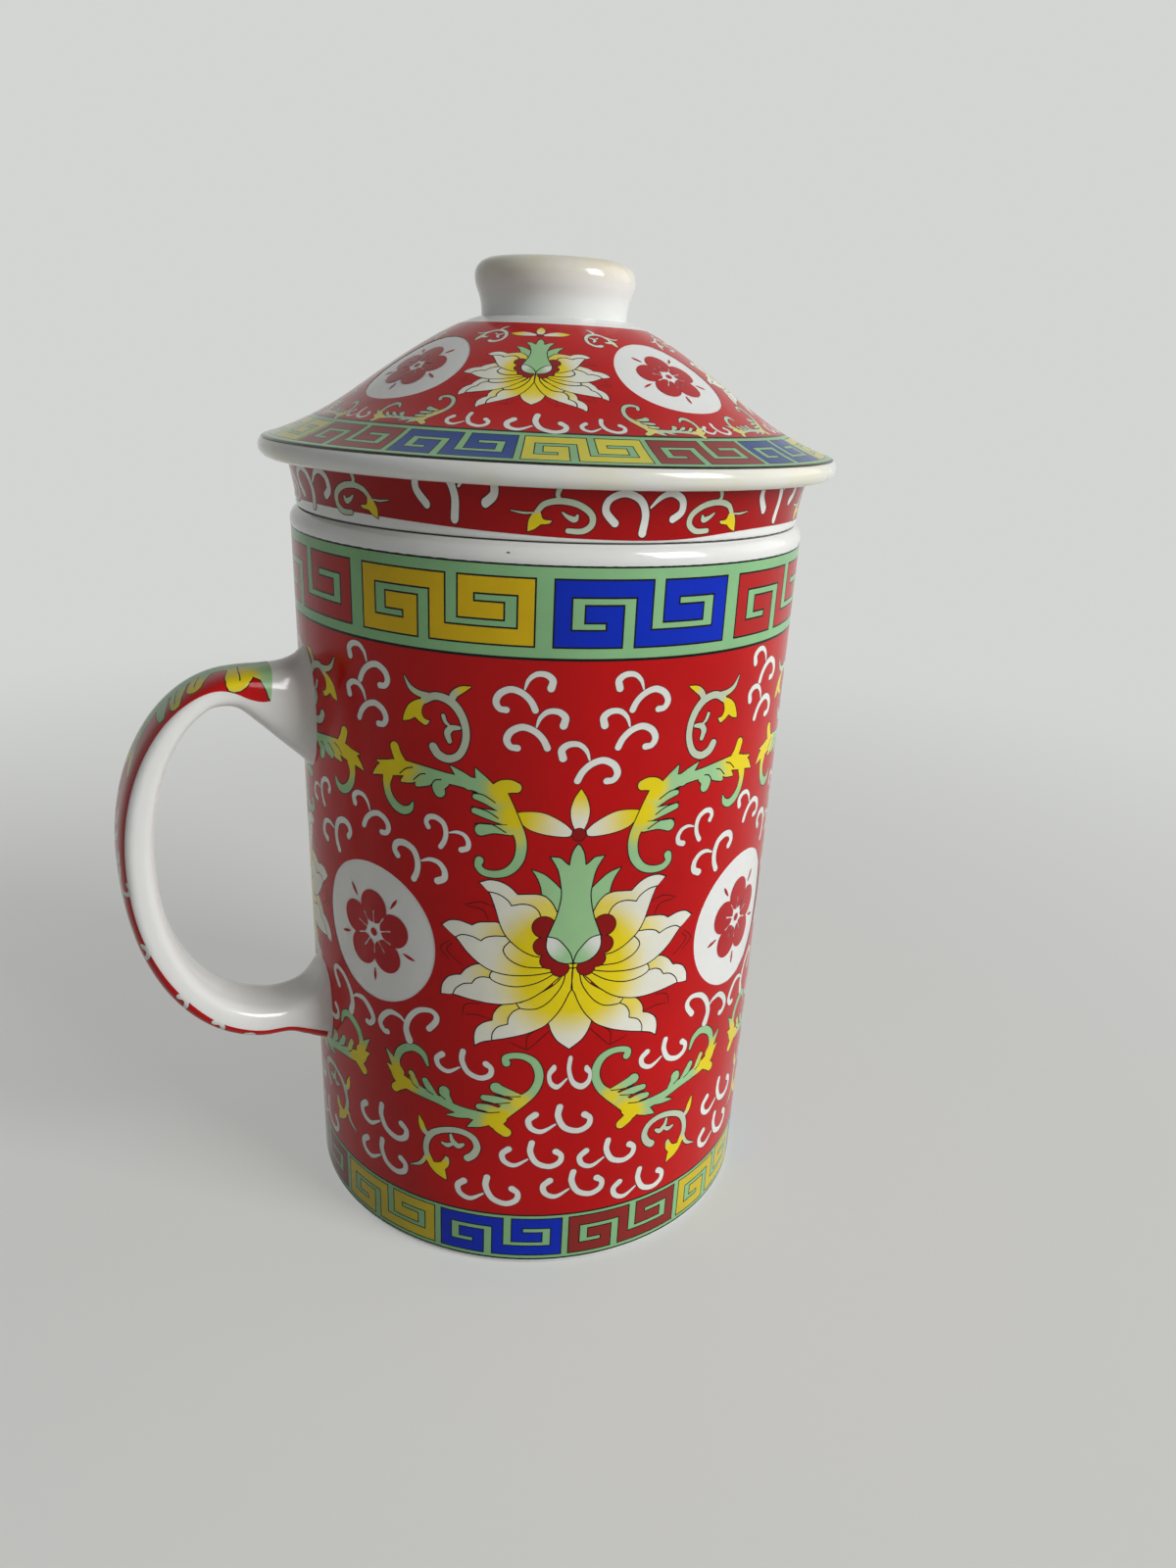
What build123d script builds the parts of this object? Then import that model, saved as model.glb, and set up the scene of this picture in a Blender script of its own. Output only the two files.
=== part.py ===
"""Lidded tea mug with infuser: a porcelain mug with a luted loop handle, a pierced
infuser that hangs in its mouth on a collar, and a low conical lid with a ring knob.

Millimetres, +Z up, origin at the centre of the foot on the standing surface.
The handle points along -X.
"""
from build123d import *
from math import cos, radians
import os

os.makedirs("parts", exist_ok=True)

# ---- mug body -------------------------------------------------------------
mug_height = 109.0
base_radius = 36.0          # outside, at the foot
rim_radius = 37.5           # outside, at the rim
wall_thickness = 3.2
floor_thickness = 4.0       # clay between the foot recess and the well
rim_bead_height = 2.6
rim_bead_proud = 0.05       # how far the bead stands out from the wall
rim_land_width = 1.2        # flat ring on top of the rim that carries the infuser
foot_ring_width = 4.6
foot_recess_depth = 1.6
foot_edge_round = 1.0
well_corner_round = 6.0

# ---- handle ---------------------------------------------------------------
handle_width = 11.2
handle_thickness = 4.8      # at the grip and along the bottom
arm_thickness = 4.0         # along the top
handle_reach = 64.5         # mug axis to the outermost face of the loop
handle_top = 87.6
handle_bottom = 31.2        # lowest point of the loop, before it dips to the joint
handle_widest = 61.3        # height at which the loop reaches furthest
handle_edge_round = 1.4
arm_run = 8.8               # wall to where the top of the loop starts to turn down
heel_run = 6.5              # wall to where its underside starts to turn up
heel_dip = 2.1              # how far the underside sinks on its way to the wall
grip_arm_run = 11.5         # the same runs for the inside of the loop, above
grip_heel_run = 6.5         # and below
upper_gusset_drop = 11.1    # luting clay under the top joint, down the wall
upper_gusset_run = 9.8      # and out along the arm
lower_gusset_rise = 5.0     # luting clay above the bottom joint, up the wall
lower_gusset_run = 3.4      # and out along the arm
luting_height = 3.0         # clay wiped up the wall above the top joint
luting_run = 3.2            # and out along the arm

# ---- infuser --------------------------------------------------------------
infuser_depth = 72.0        # from the seat on the rim down to the underside
basket_wall = 2.6
basket_floor = 3.0
basket_taper = 1.0          # extra clearance at the foot of the basket
basket_gap = 1.2            # clearance in the mouth of the mug
basket_edge_round = 2.4
collar_height = 8.0         # from the seat to the lip that carries the lid
collar_wall = 3.2
collar_inset = 0.8          # neck of the collar inside the rim
collar_neck_height = 2.2
collar_overhang = 0.4       # lip of the collar beyond the rim
collar_shelf_drop = 2.6     # where the collar runs into the basket, below the seat
collar_lip_round = 0.7
drain_hole_diameter = 2.4
drain_hole_pitch = 5.2      # spacing of the rings of holes
drain_margin = 5.0          # plain clay between the holes and the basket wall

# ---- lid ------------------------------------------------------------------
brim_width = 3.1
brim_thickness = 3.0
brim_drip = 1.3             # how far the brim hangs below the seat
brim_gap = 0.5              # between the brim and the collar lip
lid_rise = 18.2             # seat to the table that carries the knob
lid_wall = 3.2
lid_foot_slope = 0.36       # rise of the cone where it leaves the brim
belly_inset = 10.7          # inner foot of the cone, from the edge of the lid
belly_height = 6.1
waist_inset = 17.0
waist_height = 10.5
shoulder_inset = 23.1
shoulder_height = 14.5
locating_ring_wall = 2.6
locating_ring_depth = 4.5
locating_ring_gap = 0.9     # inside the collar

# ---- knob -----------------------------------------------------------------
knob_neck_radius = 10.3
knob_flare = 1.0            # how far the ring stands out beyond the neck
knob_height = 7.7
knob_flare_height = 5.4
knob_ring_width = 4.6       # from the edge of the ring to the dish
knob_crest_width = 1.9      # from the edge of the dish to the crest of the ring
knob_dish_depth = 3.4
knob_table_margin = 0.6     # flat of the lid beyond the neck

# ---- worked out from the above ----------------------------------------------
wall_slope = (rim_radius - base_radius) / mug_height
well_floor = foot_recess_depth + floor_thickness
mouth_radius = rim_radius - wall_thickness
rim_land_outer = rim_radius - (wall_thickness - rim_land_width) / 2
rim_land_inner = rim_land_outer - rim_land_width
bead_start = mug_height - rim_bead_height
bead_middle = mug_height - rim_bead_height / 2

infuser_bottom = mug_height - infuser_depth
seat_height = mug_height + collar_height
collar_lip_radius = rim_radius + collar_overhang
collar_mouth_radius = collar_lip_radius - collar_wall

lid_radius = collar_lip_radius + brim_gap + brim_width
table_height = seat_height + lid_rise
table_radius = knob_neck_radius + knob_table_margin


def wall_radius(height):
    """Outside radius of the mug wall at a height."""
    return base_radius + wall_slope * height


def corner(across, up):
    """The vertex of the open sketch nearest to a place on it."""
    return vertices().sort_by_distance((across, up))[0]


# ---- mug body: a slightly flared cup with a foot ring and a rolled rim -------
well_radius = wall_radius(well_floor) - wall_thickness
foot_inner = base_radius - foot_ring_width
foot_wall = foot_inner - foot_recess_depth
with BuildPart() as mug_body:
    with BuildSketch(Plane.XZ):
        with BuildLine():
            Polyline((0, foot_recess_depth), (foot_wall, foot_recess_depth), (foot_inner, 0),
                     (base_radius, 0), (wall_radius(bead_start), bead_start))
            ThreePointArc((wall_radius(bead_start), bead_start),
                          (rim_radius + rim_bead_proud, bead_middle),
                          (rim_land_outer, mug_height))
            Line((rim_land_outer, mug_height), (rim_land_inner, mug_height))
            Polyline((rim_land_inner, mug_height), (mouth_radius, bead_middle),
                     (well_radius, well_floor), (0, well_floor), (0, foot_recess_depth))
        make_face()
        fillet(corner(well_radius, well_floor), radius=well_corner_round)
        fillet(corner(base_radius, 0), radius=foot_edge_round)
        fillet(corner(foot_wall, foot_recess_depth), radius=foot_recess_depth)
    revolve(axis=Axis.Z)
mug_body.part.label = "mug_body"
export_step(mug_body.part, "parts/mug_body.step")

# ---- handle: a rounded strap, cast apart and luted to the wall before firing --
handle_root = mouth_radius - handle_width   # deep inside the wall, trimmed to it below
top_wall = wall_radius(handle_top)
bottom_wall = wall_radius(handle_bottom)
shoulder = top_wall + arm_run
heel = bottom_wall + heel_run
dip = handle_bottom - heel_dip
grip_reach = handle_reach - handle_thickness
grip_top = handle_top - arm_thickness
grip_bottom = handle_bottom + handle_thickness
grip_shoulder = wall_radius(grip_top) + grip_arm_run
grip_heel = wall_radius(grip_bottom) + grip_heel_run
gusset_low = grip_top - upper_gusset_drop
gusset_high = grip_bottom + lower_gusset_rise
luting_top = handle_top + luting_height
tightest_turn = (grip_reach - grip_shoulder) ** 2 / (grip_top - handle_widest)
with BuildPart() as mug_handle:
    with BuildSketch(Plane.XZ):
        with BuildLine():
            EllipticalCenterArc((-shoulder, handle_widest), handle_reach - shoulder,
                                handle_top - handle_widest, 90, arc_size=90)
            EllipticalCenterArc((-heel, handle_widest), handle_reach - heel,
                                handle_widest - handle_bottom, 180, arc_size=90)
            Polyline((-heel, handle_bottom), (-bottom_wall, dip), (-handle_root, dip),
                     (-handle_root, luting_top), (-top_wall, luting_top))
            Bezier((-top_wall, luting_top), (-top_wall - luting_run / 3, handle_top),
                   (-top_wall - luting_run, handle_top))
            Line((-top_wall - luting_run, handle_top), (-shoulder, handle_top))
        make_face()
        with BuildLine():
            EllipticalCenterArc((-grip_shoulder, handle_widest), grip_reach - grip_shoulder,
                                grip_top - handle_widest, 90, arc_size=90)
            EllipticalCenterArc((-grip_heel, handle_widest), grip_reach - grip_heel,
                                handle_widest - grip_bottom, 180, arc_size=90)
            Bezier((-grip_heel, grip_bottom),
                   (-wall_radius(grip_bottom) - lower_gusset_run, grip_bottom),
                   (-wall_radius(gusset_high), gusset_high))
            Polyline((-wall_radius(gusset_high), gusset_high), (-handle_root, gusset_high),
                     (-handle_root, gusset_low), (-wall_radius(gusset_low), gusset_low))
            Bezier((-wall_radius(gusset_low), gusset_low),
                   (-wall_radius(grip_top) - upper_gusset_run, grip_top),
                   (-grip_shoulder, grip_top))
        make_face(mode=Mode.SUBTRACT)
    extrude(amount=handle_width / 2, both=True)
    sides = edges().group_by(Axis.Y)
    outside_wall = (sides[0] + sides[-1]).filter_by(
        lambda edge: -edge.center().X > wall_radius(edge.center().Z))
    fillet(outside_wall, radius=min(handle_edge_round, 0.36 * arm_thickness, 0.9 * tightest_turn))
    with BuildSketch(Plane.XZ):
        with BuildLine():
            Polyline((0, 0), (wall_radius(0), 0), (wall_radius(mug_height), mug_height),
                     (0, mug_height), close=True)
        make_face()
    revolve(axis=Axis.Z, mode=Mode.SUBTRACT)
mug_handle.part.label = "mug_handle"
export_step(mug_handle.part, "parts/mug_handle.step")

# ---- infuser: a pierced basket that hangs on the rim by its collar ------------
basket_mouth = mouth_radius - basket_gap
basket_foot = wall_radius(infuser_bottom) - wall_thickness - basket_gap - basket_taper
basket_top_inside = basket_mouth - basket_wall
basket_foot_inside = basket_foot - basket_wall
basket_floor_top = infuser_bottom + basket_floor
collar_neck_radius = rim_radius - collar_inset
neck_height = mug_height + collar_neck_height
shelf_height = mug_height - collar_shelf_drop
drain_rings = int((basket_foot_inside - drain_margin) / drain_hole_pitch)
with BuildPart() as infuser:
    with BuildSketch(Plane.XZ):
        with BuildLine():
            Polyline((0, infuser_bottom), (basket_foot, infuser_bottom),
                     (basket_mouth, mug_height), (collar_neck_radius, mug_height),
                     (collar_neck_radius, neck_height), (collar_lip_radius, seat_height),
                     (collar_mouth_radius, seat_height),
                     (collar_mouth_radius, neck_height),
                     (basket_top_inside, shelf_height), (basket_foot_inside, basket_floor_top),
                     (0, basket_floor_top), close=True)
        make_face()
        fillet(corner(basket_foot, infuser_bottom), radius=basket_edge_round)
        fillet(corner(basket_foot_inside, basket_floor_top), radius=basket_edge_round)
        fillet(corner(collar_neck_radius, mug_height), radius=collar_lip_round)
        fillet(corner(collar_lip_radius, seat_height), radius=collar_lip_round)
        fillet(corner(collar_mouth_radius, seat_height), radius=collar_lip_round)
        fillet(corner(collar_neck_radius, neck_height), radius=collar_height)
        fillet(corner(collar_mouth_radius, neck_height), radius=collar_wall)
    revolve(axis=Axis.Z)
    with BuildSketch(Plane.XY.offset(infuser_bottom)):
        Circle(drain_hole_diameter / 2)
        for ring in range(1, drain_rings + 1):
            with PolarLocations(ring * drain_hole_pitch, 6 * ring):
                Circle(drain_hole_diameter / 2)
    extrude(amount=basket_floor, mode=Mode.SUBTRACT)
infuser.part.label = "infuser"
export_step(infuser.part, "parts/infuser.step")

# ---- lid: a low dished cone with a rolled brim and a locating ring below -------
brim_bottom = seat_height - brim_drip
brim_top = brim_bottom + brim_thickness
brim_centre = lid_radius - brim_thickness / 2
drip_inner = collar_lip_radius + brim_gap
ring_outer = collar_mouth_radius - locating_ring_gap
ring_inner = ring_outer - locating_ring_wall
ring_bottom = seat_height - locating_ring_depth
wall_drop = lid_wall / cos(radians(35))
cone = [(lid_radius - belly_inset, seat_height + belly_height),
        (lid_radius - waist_inset, seat_height + waist_height),
        (lid_radius - shoulder_inset, seat_height + shoulder_height)]
with BuildPart() as lid_shell:
    with BuildSketch(Plane.XZ):
        with BuildLine():
            Line((drip_inner, brim_bottom), (brim_centre, brim_bottom))
            ThreePointArc((brim_centre, brim_bottom), (lid_radius, brim_bottom + brim_thickness / 2),
                          (brim_centre, brim_top))
            Spline((brim_centre, brim_top), *cone, (table_radius, table_height),
                   tangents=[(-1, lid_foot_slope), (-1, lid_foot_slope)])
            Polyline((table_radius, table_height), (0, table_height),
                     (0, table_height - lid_wall), (table_radius, table_height - wall_drop))
            Spline((table_radius, table_height - wall_drop),
                   *[(across, up - wall_drop) for across, up in reversed(cone)],
                   tangents=[(1, -lid_foot_slope), (1, -lid_foot_slope)])
            Polyline((cone[0][0], cone[0][1] - wall_drop), (ring_inner, seat_height),
                     (ring_inner, ring_bottom), (ring_outer, ring_bottom),
                     (ring_outer, seat_height), (drip_inner, seat_height),
                     (drip_inner, brim_bottom))
        make_face()
        fillet(corner(ring_outer, ring_bottom), radius=locating_ring_wall / 3)
        fillet(corner(ring_inner, ring_bottom), radius=locating_ring_wall / 3)
    revolve(axis=Axis.Z)
lid_shell.part.label = "lid_shell"
export_step(lid_shell.part, "parts/lid_shell.step")

# ---- knob: a flaring ring with a dished top, luted to the table of the lid -----
knob_top = table_height + knob_height
knob_edge = table_height + knob_flare_height
knob_radius = knob_neck_radius + knob_flare
dish_radius = knob_radius - knob_ring_width
crest_radius = dish_radius + knob_crest_width
with BuildPart() as lid_knob:
    with BuildSketch(Plane.XZ):
        with BuildLine():
            Line((0, table_height), (knob_neck_radius, table_height))
            Spline((knob_neck_radius, table_height), (knob_radius, knob_edge),
                   (crest_radius, knob_top), (0, knob_top - knob_dish_depth),
                   tangents=[(0, 1), (0, 1), (-1, 0), (-1, 0)])
            Line((0, knob_top - knob_dish_depth), (0, table_height))
        make_face()
    revolve(axis=Axis.Z)
lid_knob.part.label = "lid_knob"
export_step(lid_knob.part, "parts/lid_knob.step")
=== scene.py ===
"""Dresses the lidded tea mug with infuser: glazed porcelain with printed overglaze enamels.

Metres, +Z up, the mug stands on z = 0 and its handle points along -X.
"""
import math

import bpy
import numpy as np
from mathutils import Matrix, Vector
from mathutils.geometry import delaunay_2d_cdt


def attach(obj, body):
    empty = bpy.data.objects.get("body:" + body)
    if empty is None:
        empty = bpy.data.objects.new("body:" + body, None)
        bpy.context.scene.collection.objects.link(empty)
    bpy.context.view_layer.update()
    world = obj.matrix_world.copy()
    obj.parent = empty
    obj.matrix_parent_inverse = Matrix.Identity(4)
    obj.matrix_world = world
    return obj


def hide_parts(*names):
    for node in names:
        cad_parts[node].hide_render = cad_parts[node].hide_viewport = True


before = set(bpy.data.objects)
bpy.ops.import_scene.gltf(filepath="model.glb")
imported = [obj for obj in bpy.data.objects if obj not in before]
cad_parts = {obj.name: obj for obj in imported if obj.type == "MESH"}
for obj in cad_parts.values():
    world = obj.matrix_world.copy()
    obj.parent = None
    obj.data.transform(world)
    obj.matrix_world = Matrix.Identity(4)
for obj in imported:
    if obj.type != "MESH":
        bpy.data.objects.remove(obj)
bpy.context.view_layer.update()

# ---- camera ---------------------------------------------------------------------------
# A hand-held phone looking down on the mug, with the handle to the left and a little
# behind it.
eye_distance = 0.17308
eye_height = 0.12795
handle_turn = math.radians(25)      # how far the mug is turned from side-on
pan, pitch, roll = 0.04573, 0.34666, -0.04716

ahead = Vector((math.sin(pan) * math.cos(pitch), math.cos(pan) * math.cos(pitch), -math.sin(pitch)))
level = Vector((math.cos(pan), -math.sin(pan), 0))
below = ahead.cross(level)
right = math.cos(roll) * level + math.sin(roll) * below
down = math.cos(roll) * below - math.sin(roll) * level
turn = Matrix.Rotation(-handle_turn, 4, "Z")
camera = bpy.data.objects.new("camera", bpy.data.cameras.new("camera"))
camera.data.lens = 25.875
camera.data.sensor_width = 36
camera.data.clip_start = 0.01
camera.matrix_world = (turn @ Matrix.Translation((0, -eye_distance, eye_height))
                       @ Matrix((right, -down, -ahead)).transposed().to_4x4())
bpy.context.collection.objects.link(camera)
bpy.context.scene.camera = camera


# ---- mug body: the porcelain --------------------------------------------------------------
# A slip-cast white porcelain cup with a clear glaze, fired glossy. The glaze lies in faint
# ripples and carries a few pin-head specks of iron.
def node_group(name, inputs, outputs):
    """An empty shader group with named sockets, and its input and output nodes."""
    group = bpy.data.node_groups.new(name, "ShaderNodeTree")
    for title, value in inputs.items():
        socket = group.interface.new_socket(title, in_out="INPUT", socket_type="NodeSocketFloat")
        socket.default_value = value
    for title, kind in outputs.items():
        group.interface.new_socket(title, in_out="OUTPUT", socket_type="NodeSocket" + kind)
    return group, group.nodes.new("NodeGroupInput"), group.nodes.new("NodeGroupOutput")


def add(tree, kind, settings=None, **inputs):
    """A shader node with its settings, and its inputs given as values or as sockets to link."""
    node = tree.nodes.new("ShaderNode" + kind)
    for key, value in (settings or {}).items():
        setattr(node, key, value)
    for key, value in inputs.items():
        socket = node.inputs[int(key[1:])] if key[0] == "_" else node.inputs[key.replace("_", " ")]
        if isinstance(value, bpy.types.NodeSocket):
            tree.links.new(value, socket)
        else:
            socket.default_value = value
    return node


def kiln_marks():
    """Glaze ripples, cloudiness and iron specks, from places on the piece itself."""
    group, given, result = node_group(
        "Kiln marks", {"Ripple size": 140.0, "Speck size": 260.0, "Speck share": 0.012},
        {"Ripples": "Float", "Cloud": "Float", "Specks": "Float"})
    place = add(group, "TexCoord").outputs["Object"]
    ripples = add(group, "TexNoise", Vector=place, Scale=given.outputs["Ripple size"], Detail=2.0,
                  Roughness=0.4)
    cloud = add(group, "TexNoise", Vector=place, Scale=42.0, Detail=4.0, Roughness=0.6)
    cells = add(group, "TexVoronoi", Vector=place, Scale=given.outputs["Speck size"])
    chosen = add(group, "Math", {"operation": "LESS_THAN"}, _0=cells.outputs["Color"],
                 _1=given.outputs["Speck share"])
    spot = add(group, "MapRange", {"interpolation_type": "SMOOTHSTEP"}, Value=cells.outputs["Distance"],
               From_Min=0.07, From_Max=0.13, To_Min=1.0, To_Max=0.0)
    specks = add(group, "Math", {"operation": "MULTIPLY"}, _0=chosen.outputs[0], _1=spot.outputs[0])
    group.links.new(ripples.outputs["Fac"], result.inputs["Ripples"])
    group.links.new(cloud.outputs["Fac"], result.inputs["Cloud"])
    group.links.new(specks.outputs[0], result.inputs["Specks"])
    return group


kiln = kiln_marks()
speck_brown = (0.10, 0.045, 0.02, 1)


def porcelain(name, white=(0.79, 0.80, 0.78, 1), stain=(0.79, 0.80, 0.78, 1), stain_at=None):
    """Clear glaze over white clay. stain colours the clay inside a span of heights."""
    material = bpy.data.materials.new(name)
    material.use_nodes = True
    tree = material.node_tree
    shader = tree.nodes["Principled BSDF"]
    marks = add(tree, "Group", {"node_tree": kiln})
    shade = add(tree, "MapRange", Value=marks.outputs["Cloud"], From_Min=0.3, From_Max=0.7,
                To_Min=0.0, To_Max=1.0)
    grey = tuple(channel * 0.955 for channel in white[:3]) + (1,)
    clay = add(tree, "Mix", {"data_type": "RGBA"}, Factor=shade.outputs[0], _6=grey, _7=white)
    colour = clay.outputs[2]
    if stain_at:
        place = add(tree, "SeparateXYZ", _0=add(tree, "TexCoord").outputs["Object"])
        low = add(tree, "MapRange", {"interpolation_type": "SMOOTHSTEP"}, Value=place.outputs["Z"],
                  From_Min=stain_at[0], From_Max=stain_at[1])
        patch = add(tree, "MapRange", {"interpolation_type": "SMOOTHSTEP"},
                    Value=marks.outputs["Cloud"], From_Min=0.42, From_Max=0.62)
        amount = add(tree, "Math", {"operation": "MULTIPLY"}, _0=low.outputs[0], _1=patch.outputs[0])
        colour = add(tree, "Mix", {"data_type": "RGBA"}, Factor=amount.outputs[0], _6=colour,
                     _7=stain).outputs[2]
    colour = add(tree, "Mix", {"data_type": "RGBA"}, Factor=marks.outputs["Specks"], _6=colour,
                 _7=speck_brown).outputs[2]
    tree.links.new(colour, shader.inputs["Base Color"])
    gloss = add(tree, "MapRange", Value=marks.outputs["Cloud"], From_Min=0.3, From_Max=0.7,
                To_Min=0.09, To_Max=0.14)
    tree.links.new(gloss.outputs[0], shader.inputs["Roughness"])
    relief = add(tree, "Bump", Height=marks.outputs["Ripples"], Strength=0.25, Distance=0.0003)
    tree.links.new(relief.outputs[0], shader.inputs["Normal"])
    shader.inputs["IOR"].default_value = 1.5
    return material


def coat_node(node, material):
    """A node of the frame keeps its shape and takes a finish."""
    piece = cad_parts[node]
    piece.data.materials.clear()
    piece.data.materials.append(material)
    return piece


mug_glaze = porcelain("mug clear glaze")
coat_node("mug_body", mug_glaze)

# ---- mug body: the printed enamels ----------------------------------------------------------
# Overglaze decals, wrapped round the glazed cup and fired on: a red field with lotus flowers,
# scrolling leaves and white curls between two bands of fretwork, all outlined in black.
# They are drawn flat, 14 units to the millimetre, x round the mug to the right of the front
# lotus and y down from 110 mm above the foot, and each colour is then laid on the ware.
UNIT = 0.001 / 14
print_lift = 0.00005                # how far the fired print stands on the glaze


def spline(points, closed=False, step=5.0):
    """A smooth run through points of any number of columns, about step units a sample."""
    spots = np.array(points, float)
    count = len(spots)
    if count == 2:
        closed = False
    run = []
    for first in range(count if closed else count - 1):
        picks = [first + shift for shift in (-1, 0, 1, 2)]
        picks = [pick % count if closed else min(max(pick, 0), count - 1) for pick in picks]
        a, b, c, d = spots[picks]
        samples = max(1, math.ceil(math.dist(b[:2], c[:2]) / step))
        t = np.arange(samples)[:, None] / samples
        run.append(0.5 * (2 * b + (c - a) * t + (2 * a - 5 * b + 4 * c - d) * t ** 2
                          + (3 * b - 3 * c + d - a) * t ** 3))
    if not closed:
        run.append(spots[-1:])
    return np.vstack(run)


def outline(*runs):
    """A closed shape of smooth runs that meet at corners. Each run starts where the last ended."""
    path, last = [], None
    for number, run in enumerate(runs):
        points = ([last] if last else []) + list(run)
        last = points[-1]
        if number == len(runs) - 1:
            points.append(runs[0][0])
        path.append(spline(points)[:-1])
    return np.vstack(path)


def two_sided(axis, *runs):
    """A closed shape, given by its left half from the top down and mirrored about x = axis."""
    path, last = [], None
    for run in runs:
        points = ([last] if last else []) + list(run)
        last = points[-1]
        path.append(spline(points)[:-1])
    half = np.vstack(path + [np.array([last], float)])
    other = half[::-1] * (-1, 1) + (2 * axis, 0)
    return np.vstack([half, other[1:-1]])


def brush(*points):
    """A brush stroke through (x, y, width), round where it ends wide."""
    run = spline(points)
    along = np.gradient(run[:, :2], axis=0)
    along /= np.maximum(np.linalg.norm(along, axis=1), 1e-9)[:, None]
    aside = along[:, ::-1] * (-1, 1)
    half = run[:, 2:] / 2
    left, right = run[:, :2] + aside * half, run[:, :2] - aside * half
    arc = np.linspace(0, np.pi, 7)[1:-1, None]
    start = run[0, :2] + half[0] * (-aside[0] * np.cos(arc) - along[0] * np.sin(arc))
    end = run[-1, :2] + half[-1] * (aside[-1] * np.cos(arc) + along[-1] * np.sin(arc))
    return np.vstack([left, end, right[::-1], start])


def disc(x, y, radius, squash=1.0):
    """A round or oval spot."""
    angle = np.linspace(0, 2 * np.pi, max(12, int(radius * 0.9)), endpoint=False)
    return np.stack([x + radius * np.cos(angle), y + squash * radius * np.sin(angle)], 1)


def grown(shape, margin):
    """A closed shape pushed outward all round."""
    edge = np.roll(shape, -1, 0) - shape
    edge = edge[np.hypot(*edge.T) > 1e-6]
    shape = shape[np.hypot(*(np.roll(shape, -1, 0) - shape).T) > 1e-6]
    x, y = shape.T
    facing = np.sign(np.sum(x * np.roll(y, -1) - np.roll(x, -1) * y))
    side = edge[:, ::-1] * (1, -1) * facing / np.hypot(*edge.T)[:, None]
    both = side + np.roll(side, 1, 0)
    both /= np.maximum(np.hypot(*both.T), 0.3)[:, None]
    reach = margin / np.maximum(np.sum(both * side, 1), 0.55)
    return shape + both * reach[:, None]


def motif(colour, shapes, rim=1.3, fade=()):
    """Shapes of one colour that run together, with one black line round them all.

    fade lists places (x, y, near, far, low): the colour's first tint is near them."""
    marks = [("line", grown(shape, rim), ()) for shape in shapes] if rim else []
    return marks + [(colour, shape, tuple(fade)) for shape in shapes]


def pen(width, *lines):
    """Fine black lines through points (x, y)."""
    return [("line", brush(*[(x, y, width) for x, y in line]), ()) for line in lines]


def moved(marks, x=0, y=0, size=1, flip=False, turn=0):
    """The same marks mirrored, scaled, turned clockwise in degrees and shifted."""
    across, up = size if isinstance(size, tuple) else (size, size)
    cosine, sine = math.cos(math.radians(turn)), math.sin(math.radians(turn))
    shape = np.array([[cosine, -sine], [sine, cosine]]) @ np.diag([-across if flip else across, up])
    shift = np.array([x, y], float)
    scale = math.sqrt(across * up)
    result = []
    for colour, points, fade in marks:
        fade = tuple((*(shape @ spot[:2] + shift), spot[2] * scale, spot[3] * scale, spot[4])
                     for spot in fade)
        result.append((colour, points @ shape.T + shift, fade))
    return result


def mirrored(marks, axis):
    """The marks and their mirror image about x = axis."""
    return marks + moved(marks, x=2 * axis, flip=True)


# The lotus is drawn at twice its size about x = 541: five kinds of petal from the bottom up,
# each with a turned lip, then the red heart, the bud and the sprig above it.
heart = (541, 800)
petal_fade = [(*heart, 185, 345, 0.0)]
upper_fade = [(*heart, 245, 375, 0.0)]
lip_fade = [(*heart, 295, 450, 0.12)]


def lipped_petal(edge, brow, rest, lip_brow, bridge, folds, veins=(), tail=(), fade=petal_fade):
    """A petal of the left half, the lip turned over its tip, and its fold lines.

    The petal goes along edge and brow and back round rest. The lip shares the edge, has a brow
    of its own, and comes back over bridge and along both folds."""
    near_fold, far_fold = folds
    lip = outline(edge, lip_brow, *bridge, far_fold[-2::-1], near_fold[-2::-1], *tail)
    return (motif("petal", [outline(edge, brow, *rest)], 5, fade)
            + motif("petal", [lip], 0, lip_fade) + pen(5, *folds, *veins))


lotus = [("petal", disc(541, 830, 75), tuple(petal_fade))]
lotus += motif("petal", [outline(
    [(541, 1138), (495, 1100), (470, 1060), (455, 1012)], [(485, 975), (510, 930), (528, 885), (541, 850)],
    [(554, 885), (572, 930), (597, 975), (627, 1012)], [(612, 1060), (587, 1100)])], 5,
    [(*heart, 160, 310, 0.0)])
petals = lipped_petal(
    [(165, 1138), (162, 1100), (172, 1060), (200, 1033), (235, 1018)],
    [(240, 985), (265, 950), (300, 937), (345, 930)],
    [[(470, 850), (512, 790)],
     [(538, 780), (538, 860), (528, 885), (510, 930), (485, 975), (455, 1012), (430, 1035),
      (370, 1065), (300, 1088), (232, 1106), (190, 1120)]],
    [(240, 985), (265, 950), (300, 937), (328, 935)], [[(342, 953)]],
    [[(232, 1105), (235, 1075), (255, 1045), (295, 1028)],
     [(295, 1028), (297, 1000), (315, 970), (342, 953)]],
    [[(328, 935), (342, 953), (370, 957), (410, 952), (450, 925), (485, 880), (505, 840), (514, 795)]],
    [[(190, 1120)]])
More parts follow.
